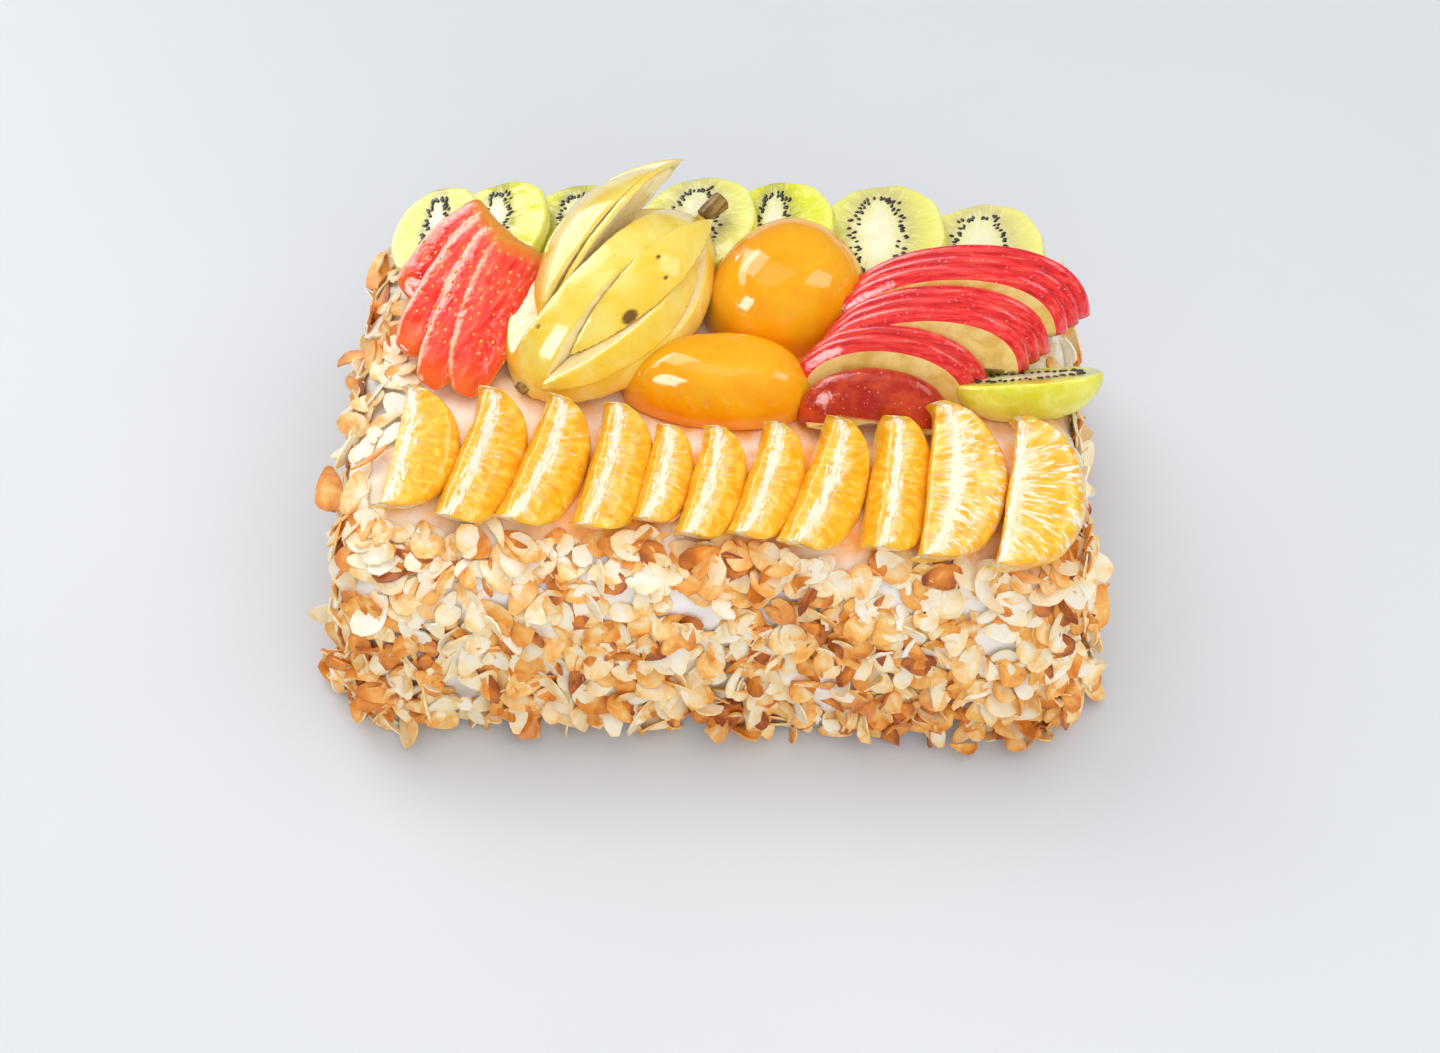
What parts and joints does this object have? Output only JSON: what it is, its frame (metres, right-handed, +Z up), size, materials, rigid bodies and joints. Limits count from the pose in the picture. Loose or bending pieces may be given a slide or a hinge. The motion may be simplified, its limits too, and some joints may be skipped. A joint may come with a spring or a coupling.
{
  "type": "fruit roll cake",
  "caption": "Cream roll cake coated with toasted almond flakes and topped with glazed kiwi, strawberry, pear, peach, apple and mandarin pieces.",
  "frame": {"origin": "bottom centre of the cake's bounding box", "axes": "+X along the cake, from the strawberry's end to the apple's end; +Y from the mandarin side to the kiwi side; +Z up"},
  "size_m": [0.2628, 0.1818, 0.1324],
  "materials": {
    "cream": "soft cream with toasted flakes",
    "kiwi": "glazed fruit flesh",
    "strawberry": "glazed fruit",
    "pear": "glazed skin and flesh",
    "stem": "woody",
    "peach": "glazed fruit",
    "apple": "glazed skin and pale flesh",
    "mandarin": "glazed membrane"
  },
  "bodies": {
    "root": {"cake_roll": "cream", "kiwi_slice_1": "kiwi", "kiwi_slice_2": "kiwi", "kiwi_slice_3": "kiwi", "kiwi_slice_4": "kiwi", "kiwi_slice_5": "kiwi", "kiwi_slice_6": "kiwi", "kiwi_slice_7": "kiwi", "kiwi_boat": "kiwi", "strawberry_fan": "strawberry", "pear_base": "pear", "pear_leaf_left": "pear", "pear_wedge_left": "pear", "pear_leaf_right": "pear", "pear_wedge_right": "pear", "pear_stem": "stem", "peach_half_1": "peach", "peach_half_2": "peach", "apple_slice_1": "apple", "apple_slice_2": "apple", "apple_slice_3": "apple", "apple_slice_4": "apple", "apple_slice_5": "apple", "apple_slice_6": "apple", "apple_slice_7": "apple", "apple_slice_8": "apple", "apple_slice_9": "apple", "mandarin_1": "mandarin", "mandarin_2": "mandarin", "mandarin_3": "mandarin", "mandarin_4": "mandarin", "mandarin_5": "mandarin", "mandarin_6": "mandarin", "mandarin_7": "mandarin", "mandarin_8": "mandarin", "mandarin_9": "mandarin", "mandarin_10": "mandarin", "mandarin_11": "mandarin"}
  },
  "joints": []
}
